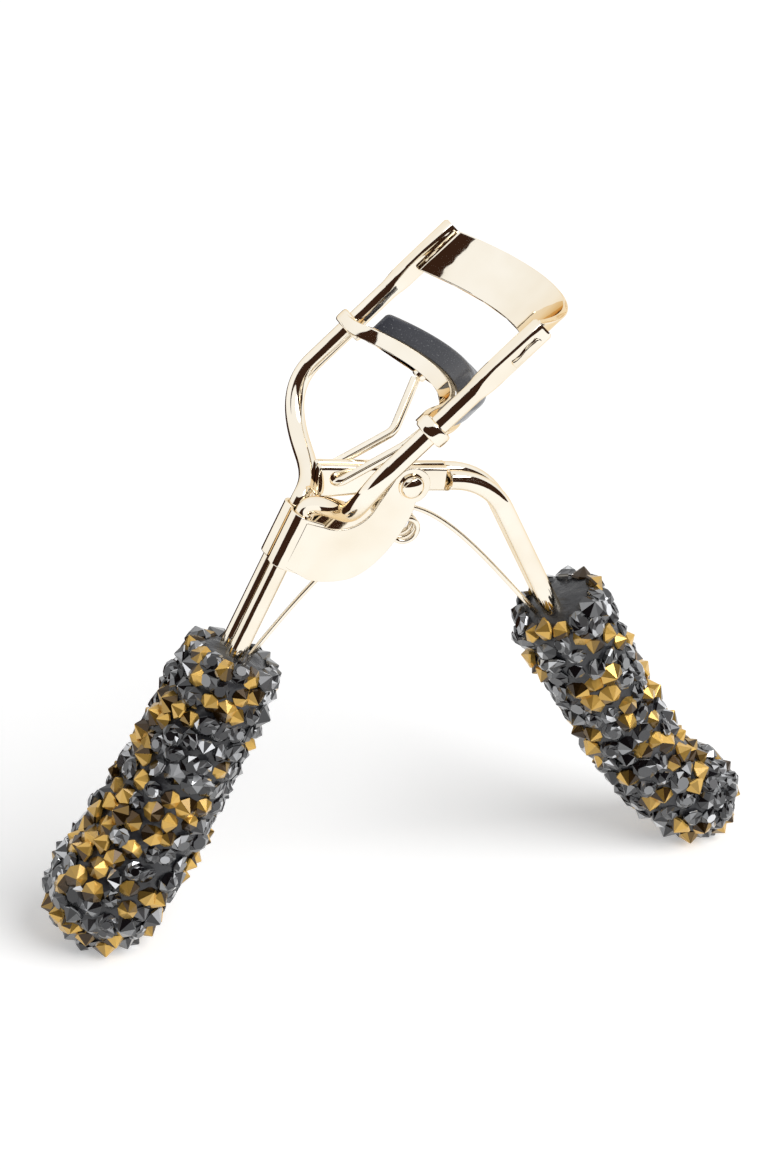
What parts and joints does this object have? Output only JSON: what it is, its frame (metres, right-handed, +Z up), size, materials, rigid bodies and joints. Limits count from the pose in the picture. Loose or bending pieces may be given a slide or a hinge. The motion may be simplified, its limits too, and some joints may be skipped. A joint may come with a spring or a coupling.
{
  "type": "eyelash curler",
  "caption": "Plated wire eyelash curler with a curved fixed jaw, a sliding padded jaw driven by a hinged lever and link, a return spring and stone-set grips, standing open.",
  "frame": {"origin": "on the floor plane under the middle of the standing curler", "axes": "+X from the fixed grip towards the moving grip, +Y across the jaws from the near wire to the far wire, +Z up"},
  "size_m": [0.0941, 0.0354, 0.0852],
  "materials": {
    "plated_wire": "mirror-bright pale gold plating on steel wire",
    "plated_sheet": "mirror-bright pale gold plating on steel sheet",
    "spring_wire": "bright gold plating on spring wire",
    "pad_rubber": "satin charcoal",
    "grip_core": "dark grey",
    "grip_jacket": "resin crust set with faceted stones"
  },
  "bodies": {
    "frame": {"frame_rod_near": "plated_wire", "frame_rod_far": "plated_wire", "hinge_bracket": "plated_sheet", "upper_jaw": "plated_sheet", "pivot_rivet": "plated_wire", "pivot_spacer_near": "plated_wire", "pivot_spacer_far": "plated_wire", "return_spring": "spring_wire", "fixed_grip_core": "grip_core", "fixed_grip_jacket": "grip_jacket"},
    "lever": {"lever_rod_near": "plated_wire", "lever_rod_far": "plated_wire", "moving_grip_core": "grip_core", "moving_grip_jacket": "grip_jacket"},
    "jaw": {"lower_jaw": "plated_sheet", "jaw_pad": "pad_rubber", "guide_eye_near": "plated_sheet", "guide_eye_far": "plated_sheet", "link_boss_near": "plated_sheet", "link_boss_far": "plated_sheet"},
    "link": {"push_link": "plated_wire"}
  },
  "joints": [
    {"name": "lever_hinge", "type": "hinge", "parent": "frame", "child": "lever", "pos_m": [0.00035, 0, 0.0593], "axis": [0, 1, 0], "range_deg": [0, 48], "stiffness_Nm_per_rad": 0.12, "springref_deg": -45.84, "deforming": ["return_spring"]},
    {"name": "jaw_slide", "type": "slide", "parent": "frame", "child": "jaw", "axis": [0.7638, 0, 0.6455], "range_m": [0, 0.00687]},
    {"name": "link_hinge", "type": "hinge", "parent": "lever", "child": "link", "pos_m": [-0.00885, 0, 0.0607], "axis": [0, 1, 0], "range_deg": [-38.5, 0]}
  ],
  "couplings": [
    {"joint": "jaw_slide", "follows": "lever_hinge", "m_per_rad": 0.00819},
    {"joint": "link_hinge", "follows": "lever_hinge", "ratio": -0.8}
  ]
}
